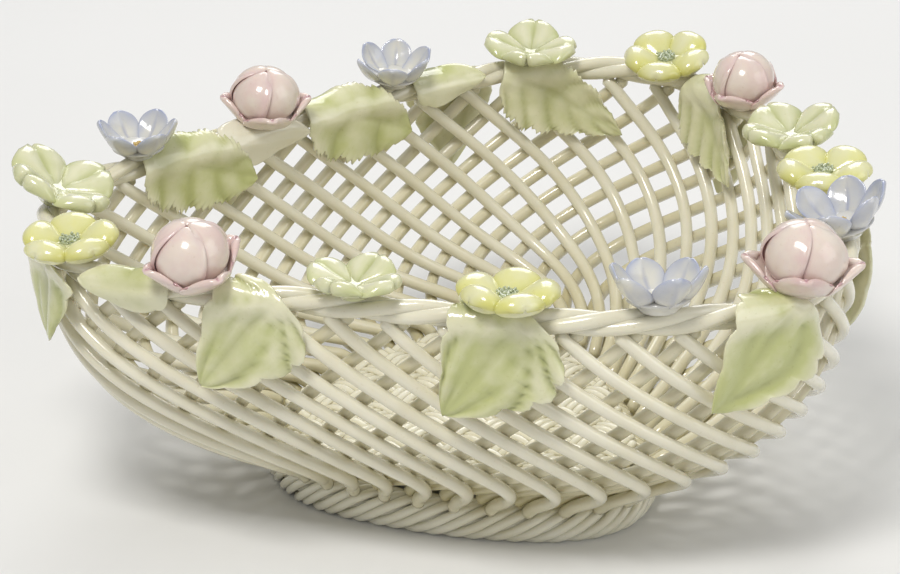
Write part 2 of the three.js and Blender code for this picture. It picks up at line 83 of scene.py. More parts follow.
walk_angles = np.linspace(0, FULL_TURN, WALK_STEPS + 1)
walk_points = plan_point(walk_angles, RIM_HALF_LENGTH, RIM_HALF_WIDTH)
walk_steps = np.linalg.norm(np.diff(walk_points, axis=0), axis=1)
walk_length = np.concatenate([[0], np.cumsum(walk_steps)])
RIM_LENGTH = walk_length[-1]


def angle_at(share):
    """The angle at which a share of the rim's length has been walked, counter-clockwise from +X."""
    whole = np.floor(share)
    return FULL_TURN * whole + np.interp((share - whole) * RIM_LENGTH, walk_length, walk_angles)


def ring_path(share, half_length, half_width, offset):
    """Middle line of a rope on the plan, with its outward direction and its way along, all as
    (n, 3) arrays. The outward direction is the way along turned a quarter clockwise."""
    angle = angle_at(share)
    here = plan_point(angle, half_length, half_width)
    ahead = plan_point(angle + NUDGE, half_length, half_width) - here
    ahead /= np.linalg.norm(ahead, axis=-1, keepdims=True)
    flat = np.zeros_like(share)
    middle = np.stack([here[..., 0] + offset, here[..., 1], flat], -1)
    outward = np.stack([ahead[..., 1], -ahead[..., 0], flat], -1)
    return middle, outward, np.stack([ahead[..., 0], ahead[..., 1], flat], -1)


def laid_roll(share, path, height, spread, rise, radius, turns, start):
    """One roll of a rope. Its middle circles the rope's middle line in an ellipse of spread and
    rise, turning steadily with the share of the ring; its section is a circle, stretched round
    the rope by the slant of the lay, and the roll is a little thicker here and there."""
    middle, outward, _ = path
    up = np.array([0, 0, 1.0])
    lay = (FULL_TURN * (turns * share + start))[:, None, None]
    turn = np.linspace(0, FULL_TURN, ROLL_COLUMNS, endpoint=False)[None, :, None]
    outward, middle = outward[:, None], middle[:, None]
    radial = outward * np.cos(lay) + up * np.sin(lay)
    round_rope = up * np.cos(lay) - outward * np.sin(lay)
    slant = math.hypot(1, FULL_TURN * (spread + rise) / 2 * turns / RIM_LENGTH)
    swell = 1 + ROLL_SWELL * np.sin(FULL_TURN * (5 * start + 11 * share))[:, None, None]
    core = middle + outward * spread * np.cos(lay) + up * (height + rise * np.sin(lay))
    return core + swell * radius * (radial * np.cos(turn) + slant * round_rope * np.sin(turn))


def close_skins(points, ring=False):
    """Faces of closed surfaces, from points (count, rows, columns, 3). The columns close on
    themselves. On a ring the rows do too; otherwise the first and last row are single points.
    Returns the kept vertices, the corner list, the corners of each face and the kept mask."""
    count, rows, columns = points.shape[:3]
    keep = np.ones((rows, columns), bool)
    index = np.arange(rows * columns).reshape(rows, columns)
    if not ring:
        keep[0, 1:] = keep[-1, 1:] = False
        index = np.maximum(index - columns + 1, 0)
        index[-1] = index[-1, 0]
    after = np.roll(index, -1, axis=1)
    below, below_after = np.roll(index, -1, axis=0), np.roll(after, -1, axis=0)
    quads = np.stack([index, after, below_after, below], -1)
    if ring:
        faces = [quads.reshape(-1, 4)]
    else:
        faces = [quads[1:-2].reshape(-1, 4), quads[0][:, [0, 2, 3]], quads[-2][:, [0, 1, 2]]]
    flat = points[:, keep]
    corners = [face[:, k] for face in faces for k in (0, 1, 2)]
    a, b, c = (flat[0][np.concatenate(corners[k::3])] - flat[0].mean(0) for k in range(3))
    if np.einsum("ij,ij->", a, np.cross(b, c)) < 0:
        faces = [face[:, ::-1] for face in faces]
    sizes = np.concatenate([np.full(len(face), face.shape[1]) for face in faces])
    loops = np.concatenate([face.ravel() for face in faces])
    shift = np.arange(count)[:, None] * keep.sum()
    return flat.reshape(-1, 3), (loops + shift).ravel(), np.tile(sizes, count), keep


def make_piece(name, skins, glaze, slot, *nodes):
    """A mesh from a list of (points, ring, marks): marks are arrays shaped like the points'
    first three axes, kept on the vertices under their own names for the glaze to read."""
    vertices, loops, sizes, marks, first = [], [], [], {}, 0
    for points, ring, skin_marks in skins:
        flat, corners, face_sizes, keep = close_skins(points, ring)
        vertices.append(flat)
        loops.append(corners + first)
        sizes.append(face_sizes)
        first += len(flat)
        for key, values in skin_marks.items():
            marks.setdefault(key, []).append(np.broadcast_to(values, points.shape[:3])[:, keep].ravel())
    vertices, loops, sizes = (np.concatenate(part) for part in (vertices, loops, sizes))
    vertices = (vertices + (PLAN_X, PLAN_Y, 0)) * MM
    starts = np.concatenate([[0], np.cumsum(sizes)[:-1]])
    mesh = bpy.data.meshes.new(name)
    mesh.vertices.add(len(vertices))
    mesh.vertices.foreach_set("co", vertices.astype(np.float32).ravel())
    mesh.loops.add(len(loops))
    mesh.loops.foreach_set("vertex_index", loops.astype(np.int32))
    mesh.polygons.add(len(sizes))
    mesh.polygons.foreach_set("loop_start", starts.astype(np.int32))
    mesh.update(calc_edges=True)
    mesh.polygons.foreach_set("use_smooth", np.ones(len(sizes), bool))
    for key, values in marks.items():
        layer = mesh.attributes.new(key, "FLOAT", "POINT")
        layer.data.foreach_set("value", np.concatenate(values).astype(np.float32))
    mesh.materials.append(glaze)
    piece = bpy.data.objects.new(name, mesh)
    bpy.context.scene.collection.objects.link(piece)
    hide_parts(*nodes)
    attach(piece, "root")
    return piece


def add_node(tree, kind, place, **values):
    """A node at a place in its tree. Values whose key is a socket's name, with spaces written
    as underscores, go to that socket; the others are the node's own settings."""
    node = tree.nodes.new(kind)
    node.location = place
    sockets = {socket.name.replace(" ", "_"): socket for socket in reversed(node.inputs)}
    for key, value in values.items():
        if key in sockets:
            sockets[key].default_value = value
        else:
            setattr(node, key, value)
    return node


def glaze_film_and_shade_group():
    """How a clear glaze lies on pale clay: a slow drift of tone towards a darker colour, painted
    shade that deepens towards the same colour, fine pits, and a surface that is not quite even. Shade runs
    from 0 to 1."""
    group = bpy.data.node_groups.new("glaze_film", "ShaderNodeTree")
    ways_in = {"Clay": "Color", "Pooled": "Color", "Shade": "Float"}
    ways_out = {"Colour": "Color", "Roughness": "Float", "Height": "Float"}
    for way, sockets in (("INPUT", ways_in), ("OUTPUT", ways_out)):
        for name, kind in sockets.items():
            group.interface.new_socket(name=name, in_out=way, socket_type=f"NodeSocket{kind}")
    link = group.links.new
    start = add_node(group, "NodeGroupInput", (-900, 0))
    end = add_node(group, "NodeGroupOutput", (700, 0))
    where = add_node(group, "ShaderNodeTexCoord", (-1100, -300))
    drift = add_node(group, "ShaderNodeTexNoise", (-800, -200), Scale=70.0, Detail=3.0, Roughness=0.55)
    pits = add_node(group, "ShaderNodeTexNoise", (-800, -500), Scale=1400.0, Detail=2.0, Roughness=0.5)
    uneven = add_node(group, "ShaderNodeTexNoise", (-800, -800), Scale=260.0, Detail=2.0, Roughness=0.5)
    for noise in (drift, pits, uneven):
        link(where.outputs["Object"], noise.inputs["Vector"])
    spread = add_node(group, "ShaderNodeMapRange", (-550, -200), From_Min=0.35, From_Max=0.7, To_Max=0.24)
    link(drift.outputs["Fac"], spread.inputs["Value"])
    both = add_node(group, "ShaderNodeMath", (-350, -100), operation="ADD", use_clamp=True)
    link(start.outputs["Shade"], both.inputs[0])
    link(spread.outputs["Result"], both.inputs[1])
    tone = add_node(group, "ShaderNodeMix", (-100, 100), data_type="RGBA")
    link(both.outputs[0], tone.inputs["Factor"])
    link(start.outputs["Clay"], tone.inputs[6])
    link(start.outputs["Pooled"], tone.inputs[7])
    pit_mask = add_node(group, "ShaderNodeMapRange", (-550, -500), From_Min=0.66, From_Max=0.74, To_Max=0.35)
    link(pits.outputs["Fac"], pit_mask.inputs["Value"])
    pitted = add_node(group, "ShaderNodeMix", (150, 50), data_type="RGBA", blend_type="MULTIPLY")
    pitted.inputs[7].default_value = (0.8, 0.76, 0.62, 1)
    link(pit_mask.outputs["Result"], pitted.inputs["Factor"])
    link(tone.outputs[2], pitted.inputs[6])
    link(pitted.outputs[2], end.inputs["Colour"])
    rough = add_node(group, "ShaderNodeMapRange", (150, -250), To_Min=0.12, To_Max=0.25)
    link(uneven.outputs["Fac"], rough.inputs["Value"])
    link(rough.outputs["Result"], end.inputs["Roughness"])
    height = add_node(group, "ShaderNodeMath", (150, -500), operation="SUBTRACT")
    link(uneven.outputs["Fac"], height.inputs[0])
    link(pit_mask.outputs["Result"], height.inputs[1])
    link(height.outputs[0], end.inputs["Height"])
    return group


glaze_film = glaze_film_and_shade_group()


def glaze_material(name, clay, drift_and_shade, tint=None, bump=0.00012):
    """Glazed porcelain: the film group over a clay colour. With a tint, the clay turns to that
    colour where the mesh's tint mark says so, loosened by noise as brushed colour is. The darker
    colour is mixed in by the slow drift and as painted shade where the mesh's shade mark says so."""
    glaze = bpy.data.materials.new(name)
    glaze.use_nodes = True
    tree = glaze.node_tree
    tree.nodes.clear()
    link = tree.links.new
    out = add_node(tree, "ShaderNodeOutputMaterial", (700, 0))
    skin = add_node(
        tree, "ShaderNodeBsdfPrincipled", (400, 0), Subsurface_Weight=0.14, Subsurface_Scale=0.0025,
        Subsurface_Radius=(1.0, 0.85, 0.55), Coat_Weight=0.6, Coat_Roughness=0.04, IOR=1.5,
    )
    film = add_node(tree, "ShaderNodeGroup", (0, 0), node_tree=glaze_film)
    film.inputs["Clay"].default_value = (*clay, 1)
    film.inputs["Pooled"].default_value = (*drift_and_shade, 1)
    # The mesh's painted-shade mark: painted shade in creases, hollows and between parts.
    painted_shade = add_node(tree, "ShaderNodeAttribute", (-500, -250), attribute_name="painted_shade")
    link(painted_shade.outputs["Fac"], film.inputs["Shade"])
    if tint is not None:
        mark = add_node(tree, "ShaderNodeAttribute", (-800, 200), attribute_name="tint")
        where = add_node(tree, "ShaderNodeTexCoord", (-1000, 0))
        brush = add_node(tree, "ShaderNodeTexNoise", (-800, 0), Scale=150.0, Detail=3.0)
        link(where.outputs["Object"], brush.inputs["Vector"])
        loose = add_node(tree, "ShaderNodeMath", (-600, 0), operation="MULTIPLY_ADD")
        loose.inputs[1].default_value, loose.inputs[2].default_value = 1.4, -0.7
        link(brush.outputs["Fac"], loose.inputs[0])
        both = add_node(tree, "ShaderNodeMath", (-400, 100), operation="ADD", use_clamp=True)
        link(mark.outputs["Fac"], both.inputs[0])
        link(loose.outputs[0], both.inputs[1])
        blend = add_node(tree, "ShaderNodeMix", (-200, 150), data_type="RGBA")
        blend.inputs[6].default_value = (*clay, 1)
        blend.inputs[7].default_value = (*tint, 1)
        link(both.outputs[0], blend.inputs["Factor"])
        link(blend.outputs[2], film.inputs["Clay"])
    relief = add_node(tree, "ShaderNodeBump", (200, -250), Strength=0.5, Distance=bump)
    link(film.outputs["Height"], relief.inputs["Height"])
    link(film.outputs["Colour"], skin.inputs["Base Color"])
    link(film.outputs["Roughness"], skin.inputs["Roughness"])
    link(relief.outputs["Normal"], skin.inputs["Normal"])
    link(skin.outputs["BSDF"], out.inputs["Surface"])
    return glaze


ivory_glaze = glaze_material("ivory_glaze", IVORY, IVORY_DRIFT_AND_SHADE)

foot_share = np.linspace(0, 1, FOOT_STEPS, endpoint=False)
foot_path = ring_path(foot_share, FOOT_HALF_LENGTH, FOOT_HALF_WIDTH, FOOT_OFFSET)
core_lay = (FOOT_MIDDLE, FOOT_CORE_SPREAD, FOOT_CORE_SPREAD, FOOT_CORE_RADIUS, 1, 0)
foot_rolls = [laid_roll(foot_share, foot_path, *core_lay)]
for pair in range(FOOT_PAIRS):
    for split in (-FOOT_PAIR_SPLIT, FOOT_PAIR_SPLIT):
        start = pair / FOOT_PAIRS + split
        roll_lay = (FOOT_MIDDLE, FOOT_SPREAD, FOOT_RISE, FOOT_ROLL_RADIUS, FOOT_TURNS, start)
        foot_rolls.append(laid_roll(foot_share, foot_path, *roll_lay))
foot_rolls = np.stack(foot_rolls)
foot_rolls[..., 2] = np.maximum(foot_rolls[..., 2], 0)
# Painted shade: the upper part of the foot rope, under the bowl, is darkened towards the darker ivory.
foot_top_shade = np.clip((foot_rolls[..., 2] - FOOT_SHADE_START) / FOOT_SHADE_DEPTH, 0, 1) * FOOT_TOP_SHADE
make_piece("roped_foot", [(foot_rolls, True, {"painted_shade": foot_top_shade})], ivory_glaze, "ivory_glaze", "foot_ring")

# The floor is a mat of thin rolls, three side by side, woven over and under each other and
# trimmed to the foot's outline. It lies on the inner edge of the foot rope.
MAT_ROLL_WIDTH, MAT_ROLL_HEIGHT = 2.35, 1.72
MAT_PITCH, MAT_LANES = 7.6, 8
MAT_MIDDLE = 12.08
MAT_TURN = 38
MAT_TRIM, MAT_MARGIN, MAT_NEAR = 1.9, 2.5, 0.6
MAT_ROWS, MAT_COLUMNS = 96, 10
MAT_SHADE_START, MAT_SHADE_DEPTH, MAT_LOW_SHADE = 1.2, 1.6, 0.7


def mat_rolls(direction, lift):
    """Straight rolls across the floor in one direction. Each runs between the two places where
    its line meets the outline. It waves up and down as a cosine with a full period for every
    two crossings; its section is a flattened circle."""
    angle = np.linspace(0, FULL_TURN, WALK_STEPS // 2 + 1)
    outline = plan_point(angle, FOOT_HALF_LENGTH - MAT_TRIM, FOOT_HALF_WIDTH - MAT_TRIM)
    along = np.array([math.cos(direction), math.sin(direction)])
    across = np.array([-along[1], along[0]])
    reach, side = outline @ along, outline @ across
    step = np.linspace(0, 1, MAT_ROWS)[:, None, None]
    turn = np.linspace(0, FULL_TURN, MAT_COLUMNS, endpoint=False)[None, :, None]
    size = np.where((step > 0) & (step < 1), 0.5, 0)
    rolls = []
    for lane in range(-MAT_LANES, MAT_LANES + 1):
        for strand in (-1, 0, 1):
            place = lane * MAT_PITCH + strand * MAT_ROLL_WIDTH
            near = np.abs(side - place) < MAT_NEAR
            if side.min() + MAT_MARGIN < place < side.max() - MAT_MARGIN:
                low, high = reach[near].min(), reach[near].max()
                distance = low + (high - low) * step
                wave = lift * np.cos(math.pi * (distance / MAT_PITCH + lane)) * MAT_ROLL_HEIGHT / 2
                across_roll = place + size * MAT_ROLL_WIDTH * np.cos(turn)
                height = MAT_MIDDLE + wave + size * MAT_ROLL_HEIGHT * np.sin(turn)
                rolls.append(np.concatenate([distance * along + across_roll * across, height], -1))
    return np.stack(rolls) + (FOOT_OFFSET, 0, 0)


mat_both = [mat_rolls(math.radians(MAT_TURN), 1), mat_rolls(math.radians(MAT_TURN + 90), -1)]
mat_skins = []
for rolls in mat_both:
    # Painted shade: where a roll dips low in the weave, under the rolls that cross it, it is darkened.
    mat_low_shade = np.clip((MAT_MIDDLE + MAT_SHADE_START - rolls[..., 2]) / MAT_SHADE_DEPTH, 0, 1) * MAT_LOW_SHADE
    mat_skins.append((rolls, False, {"painted_shade": mat_low_shade}))
make_piece("woven_floor", mat_skins, ivory_glaze, "ivory_glaze", "base_mat")

# The wall is two layers of single hand-rolled strands. The inner layer sweeps round the bowl
# and comes in almost along the foot; the outer layer slants the other way, then turns in
# under the belly to the foot's shoulder. The layers are stuck together where they cross.
RIM_HEIGHT = 71.5
WALL_TOP = 66.25
LANDING_OUT, LANDING_HEIGHT = 3.0, 11.234
DIP_DEPTH, DIP_POWER = 7.4, 3.5
WALL_FULLNESS, END_FULLNESS = 2.25, 0.08
STRANDS_PER_GROUP, GROUPS = 7, 6
STRAND_RADIUS, STRAND_WAVER, STRAND_SWELL = 1.66, 0.13, 0.04
STRAND_ROWS, STRAND_COLUMNS, ROW_SPACING = 84, 16, 1.3
LAYER_OFFSET, WALL_NUDGE = 1.58, 2e-3
TOP_DESCENT, TOP_SLANT = 0.05, 0.12
TUCK_START, TUCK_REACH, TUCK_SHARE = 0.06, 0.11, 0.75
SINK_START, SINK_REACH = 0.93, 0.07
FACING_START, FACING_SHADE = 0.1, 0.45
LOW_START, LOW_REACH, LOW_SHADE = 0.66, 0.34, 0.45
OUTER_LAY = dict(turn=1, rim_turn=0.16, power=1.2, foot_turn=0.112, end=0.995, roundings=24, sink=0.45)
INNER_LAY = dict(turn=-1, rim_turn=0.053, power=3.4, foot_turn=0.157, end=1.0, roundings=4, sink=0.3)
LANDING_HALF_LENGTH, LANDING_HALF_WIDTH = FOOT_HALF_LENGTH + LANDING_OUT, FOOT_HALF_WIDTH + LANDING_OUT


def wall_point(angle, descent):
    """The bowl between the layers: a fuller-than-elliptic quarter curve, carried round from the
    foot's outline to the rim's, which dips as a power of what is left to spread. Descent is 0
    at the strand tops and 1 on the foot."""
    fullness = WALL_FULLNESS * (1 + END_FULLNESS * np.cos(angle))
    rise = math.pi / 2 * (1 - np.clip(descent, 0, 1))
    spread = np.sin(rise) ** (2 / fullness)
    climb = 1 - np.maximum(np.cos(rise), 0) ** (2 / fullness)
    foot = plan_radius(angle, LANDING_HALF_LENGTH, LANDING_HALF_WIDTH)
    rim = plan_radius(angle, RIM_HALF_LENGTH, RIM_HALF_WIDTH)
    radius = foot + (rim - foot) * spread
    x = radius * np.cos(angle) + FOOT_OFFSET * (1 - spread)
    level = LANDING_HEIGHT + DIP_DEPTH
    z = level + (WALL_TOP - level) * climb - DIP_DEPTH * (1 - spread) ** DIP_POWER
    return np.stack([x, radius * np.sin(angle), z], -1)


def unit(vectors):
    """Vectors scaled to length one along the last axis."""
    return vectors / np.maximum(np.linalg.norm(vectors, axis=-1, keepdims=True), 1e-12)


def wall_depth():
    """Length of the bowl's curve down its long side, which turns a depth into a descent."""
    line = wall_point(np.full(721, math.pi / 2), np.linspace(0, 1, 721))
    return np.linalg.norm(np.diff(line, axis=0), axis=1).sum()


WALL_DEPTH = wall_depth()


def off_wall(angle, descent, offset):
    """A place held off the bowl along its outward normal, which is the cross product of the way
    down and the way round. Above the strand tops the place rises upright."""
    low = np.clip(descent, 0, 1 - WALL_NUDGE) + WALL_NUDGE
    down = wall_point(angle, low) - wall_point(angle, low - WALL_NUDGE)
    round_way = wall_point(angle + WALL_NUDGE, low) - wall_point(angle - WALL_NUDGE, low)
    normal = unit(np.cross(down, round_way))
    place = wall_point(angle, descent) + normal * np.asarray(offset)[..., None]
    place[..., 2] += np.maximum(-descent, 0) * WALL_DEPTH
    return place, normal


def strand_rolls(shares, lay, side):
    """Round strands from the rim to the foot. In plan each lies between a point on the rim,
    which drifts round as the strand falls, and a fixed point on the foot, weighted by how far
    the bowl has spread. Averaging each point with its neighbours, over and over, rounds the
    bends. The section is a circle square to the strand. At its top the strand draws in towards
    the middle of the rim rope, and at its foot it sinks towards the middle of the foot rope. It also
    returns painted shade: darker on the side that faces the other layer and down towards the foot."""
    step = np.linspace(0, 1, STRAND_ROWS)
    descent = (lay["end"] + TOP_DESCENT) * (1 - (1 - step) ** ROW_SPACING)[None, :] - TOP_DESCENT
    share = shares[:, None]
    inside = np.clip(descent, 0, 1)
    drift = lay["rim_turn"] * (1 - (1 - inside) ** lay["power"])
    rim_angle = angle_at(share + lay["turn"] * (drift + np.minimum(descent, 0) * TOP_SLANT))
    foot_angle = angle_at(share + lay["turn"] * lay["foot_turn"])
    spread = (np.sin(math.pi / 2 * (1 - inside)) ** (2 / WALL_FULLNESS))[..., None]
    plan = plan_point(rim_angle, RIM_HALF_LENGTH, RIM_HALF_WIDTH) * spread
    plan = plan + plan_point(foot_angle, LANDING_HALF_LENGTH, LANDING_HALF_WIDTH) * (1 - spread)
    angle = np.arctan2(plan[..., 1], plan[..., 0])
    waver = STRAND_WAVER * np.sin(9 * descent + 40 * share) * np.sin(math.pi * inside)
    tucked = np.clip((TUCK_START - descent) / TUCK_REACH, 0, 1) ** 2
    middle, normal = off_wall(angle, descent, side * LAYER_OFFSET * (1 - TUCK_SHARE * tucked) + waver)
    for _ in range(lay["roundings"]):
        middle[:, 1:-1] = (middle[:, :-2] + 2 * middle[:, 1:-1] + middle[:, 2:]) / 4
    foot = np.zeros_like(middle)
    foot[..., :2] = plan_point(angle, FOOT_HALF_LENGTH, FOOT_HALF_WIDTH)
    foot += (FOOT_OFFSET, 0, FOOT_MIDDLE)
    sinking = lay["sink"] * np.clip((step - SINK_START) / SINK_REACH, 0, 1) ** 2
    middle += sinking[None, :, None] * (foot - middle)
    along = unit(np.gradient(middle, axis=1))
    across = unit(np.cross(normal, along))
    outward = np.cross(along, across)
    turn = np.linspace(0, FULL_TURN, STRAND_COLUMNS, endpoint=False)[None, None, :, None]
    ends = np.where((step > 0) & (step < 1), 1.0, 0.0)
    radius = STRAND_RADIUS * ends * (1 + STRAND_SWELL * np.sin(7 * descent + 90 * share))
    ring = across[:, :, None] * np.sin(turn) + outward[:, :, None] * np.cos(turn)
    points = middle[:, :, None] + radius[:, :, None, None] * ring
    # Painted shade: the side facing the other layer, and the lower wall towards the foot, are darkened.
    facing_shade = np.clip(-side * np.cos(turn[..., 0]) - FACING_START, 0, 1) * FACING_SHADE
    low_wall_shade = np.clip((descent[:, :, None] - LOW_START) / LOW_REACH, 0, 1) * LOW_SHADE
    return points, np.clip(facing_shade + low_wall_shade, 0, 1)


for layer, lay, side in (("outer", OUTER_LAY, 1), ("inner", INNER_LAY, -1)):
    for group in range(GROUPS):
        shares = (group + (np.arange(STRANDS_PER_GROUP) + 0.5) / STRANDS_PER_GROUP) / GROUPS
        rolls, painted_shade = strand_rolls(shares, lay, side)
        skins, node = [(rolls, False, {"painted_shade": painted_shade})], f"{layer}_strands_{group + 1}"
        make_piece(f"{layer}_rolls_{group + 1}", skins, ivory_glaze, "ivory_glaze", node)

# The rim is a rope of three fat rolls with a long lay. It is pressed down over the strand tops
# and hides them.
RIM_SPREAD, RIM_ROLL_RADIUS = 1.5, 1.82
RIM_TURNS, RIM_ROLLS, RIM_EVEN_SHADE, RIM_STEPS = 12, 3, 0.08, 460
rim_share = np.linspace(0, 1, RIM_STEPS, endpoint=False)
rim_path = ring_path(rim_share, RIM_HALF_LENGTH, RIM_HALF_WIDTH, 0)
rim_rolls = []
for number in range(RIM_ROLLS):
    roll_lay = (RIM_HEIGHT, RIM_SPREAD, RIM_SPREAD, RIM_ROLL_RADIUS, RIM_TURNS, number / RIM_ROLLS)
    rim_rolls.append(laid_roll(rim_share, rim_path, *roll_lay))
rim_rolls = np.stack(rim_rolls)
# The whole rim takes a faint, even share of the darker ivory through the painted-shade mark.
rim_even_shade = np.full(rim_rolls.shape[:3], RIM_EVEN_SHADE)
make_piece("roped_rim", [(rim_rolls, True, {"painted_shade": rim_even_shade})], ivory_glaze, "ivory_glaze", "rim_rope")

# The leaves are cut from thin clay with toothed edges and pressed veins, and folded over the
# rim rope, to hang inside or outside the wall. Yellow-green is brushed on the upper face, and
# lies thin along the edges; the pleat ridges and the fold are painted paler as highlight.
LEAF_GREEN = (0.53, 0.56, 0.24)
LEAF_CLAY = (0.77, 0.75, 0.54)
# The darker leaf colour is what the slow drift of tone and the painted shade mix in.
LEAF_DRIFT_AND_SHADE = (0.34, 0.36, 0.12)
LEAF_LENGTH, LEAF_WIDTH, LEAF_THICKNESS = 28, 26, 1.3
LEAF_RISE, LEAF_CURL, LEAF_WAVE = 5.5, 3, 0.6
LEAF_STANDOFF = 4.1
LEAF_ROWS, LEAF_COLUMNS = 150, 44
LEAF_WIDEST, LOBE_DEPTH, LOBE_SHIFT, TEETH_PER_LOBE = 0.36, 0.15, 0.4, 4
MIDRIB_DEPTH, MIDRIB_WIDTH = 0.6, 0.07
FOLD_DEPTH, FOLD_REACH = 1.3, 3.3
UNDERSIDE_TINT = 0.15
leaf_glaze = glaze_material("leaf_glaze", LEAF_CLAY, LEAF_DRIFT_AND_SHADE, LEAF_GREEN, bump=0.0002)


def drape(angle, down, stand):
    """A place at a depth below the strand tops, held off the wall by stand. Above the middle of
    the rim rope it bends over the rope in a circle whose radius is stand."""
    drop = RIM_HEIGHT - WALL_TOP
    turned = np.maximum(-down - drop, 0) / np.abs(stand)
    place, _ = off_wall(angle, np.maximum(down, -drop) / WALL_DEPTH, stand * np.cos(turned))
    place[..., 2] += np.abs(stand) * np.sin(turned)
    return place


def leaf_width(u, v, lobes, serration, bluntness):
    """Half width as a share: a quarter ellipse rises to the widest place, then one minus a power,
    the bluntness, tapers to the tip. The edge swells into round lobes, an absolute cosine of u,
    and a wave with several teeth to a lobe notches them."""
    rising = np.sqrt(np.clip(1 - (1 - u / LEAF_WIDEST) ** 2, 0, 1)) ** 0.7
    past = np.maximum(u - LEAF_WIDEST, 0) / (1 - LEAF_WIDEST)
    tapering = np.clip(1 - past**bluntness, 0, 1) ** 0.8
    phase = lobes * u + LOBE_SHIFT * (v > 0)
    scallop = LOBE_DEPTH * (np.abs(np.cos(math.pi * phase)) ** 0.7 - 0.6)
    teeth = serration * (np.abs((TEETH_PER_LOBE * phase) % 1 - 0.7) - 0.3)
    edge = np.abs(v) ** 4 * np.clip(u / 0.12, 0, 1)
    return np.where(u < LEAF_WIDEST, rising, tapering) * (1 + (scallop + teeth) * edge)


def leaf_veins(u, v, lobes, fan):
    """Height of the pleats from -1 to 1, with round ridges and sharp grooves that deepen towards
    the edge. With a fan of 0 they run from the midrib forwards to the lobes; with a fan of 1
    they all spread from the stalk, by the angle seen from there."""
    forwards = u + 0.3 * (1 - np.abs(v) ** 1.2)
    spread = np.arctan2(0.5 * np.abs(v), u + 0.06) / 1.2
    phase = lobes * ((1 - fan) * forwards + fan * spread) + LOBE_SHIFT * (v > 0)
    pleats = 2 * np.abs(np.cos(math.pi * phase)) ** 0.8 - 1
    return pleats * np.abs(v) ** 0.6 * np.clip(math.pi * u * (1 - u), 0, 0.5) / 0.5


def leaf_skin(
    share, side, heading, length_share, width_share, rise_share, lobes, teeth, pleat, fan, bluntness,
    green,
):
    """A leaf: u runs from stalk to tip and v from edge to edge. Its section is a flat ellipse
    that stands off the wall by the curl, the pleats, a groove along the midrib and a bulge,
    a bell in the depth, where it is folded over the rim rope."""
    step = np.linspace(0, 1, LEAF_ROWS)
    u = (0.35 * (1 - np.cos(math.pi * step)) / 2 + 0.65 * step)[:, None]
    turn = np.linspace(0, FULL_TURN, LEAF_COLUMNS, endpoint=False)[None, :]
    v = np.cos(turn)
    length, half_width = LEAF_LENGTH * length_share, LEAF_WIDTH * width_share / 2
    a = length * (u - 0.10 * v**2 * np.sin(math.pi * u))
    b = half_width * leaf_width(u, v, lobes, teeth, bluntness) * v
    way = math.radians(heading)
    along, down = a * math.cos(way) - b * math.sin(way), a * math.sin(way) + b * math.cos(way)
    down = down - LEAF_RISE * rise_share
    veins = leaf_veins(u, v, lobes, fan)
    midrib = np.exp(-((v / MIDRIB_WIDTH) ** 2)) * (1 - u) * np.clip(10 * u, 0, 1)
    folded = np.exp(-(((down + RIM_HEIGHT - WALL_TOP) / FOLD_REACH) ** 2))
    curl = LEAF_CURL * math.sin(way) * ((a / length) ** 2 + np.abs(b) / LEAF_WIDTH)
    waves = LEAF_WAVE * np.sin(5.3 * u + 2.2 * v + 9 * share) * np.abs(v)
    fade = (np.clip(u * 12, 0, 1) * np.clip((1 - u) * 14, 0, 1)) ** 0.5
    front_share = np.where(np.sin(turn) > 0, 1.0, 0.5)
    relief = front_share * (pleat * veins * (1 - folded) - MIDRIB_DEPTH * midrib)
    body = LEAF_THICKNESS / 2 * np.sign(np.sin(turn)) * np.abs(np.sin(turn)) ** 0.6
    stand = LEAF_STANDOFF + curl + waves + FOLD_DEPTH * folded + fade * (relief + body)
    points = drape(angle_at(share + along / RIM_LENGTH), down, side * stand)
    # Painted shade darkens the vein grooves and the midrib on the upper face, away from the fold.
    groove_shade = np.clip(0.2 - 0.7 * veins, 0, 1) * 0.6 + 0.5 * midrib
    # The tint is thinner at the edges and near the stalk, the leaf's own colour, and paler on the pleat
    # ridges and on the fold, a painted highlight.
    tint = 0.85 - 0.4 * veins - 0.6 * np.abs(v) ** 6 - 0.7 * folded - 2.0 * np.clip(0.2 - u, 0, 1)
    tint = np.clip(tint, 0, 1) * np.where(np.sin(turn) < 0, UNDERSIDE_TINT, green)
    marks = {"painted_shade": (groove_shade * (1 - folded) * front_share)[None], "tint": tint[None]}
    return points[None], False, marks


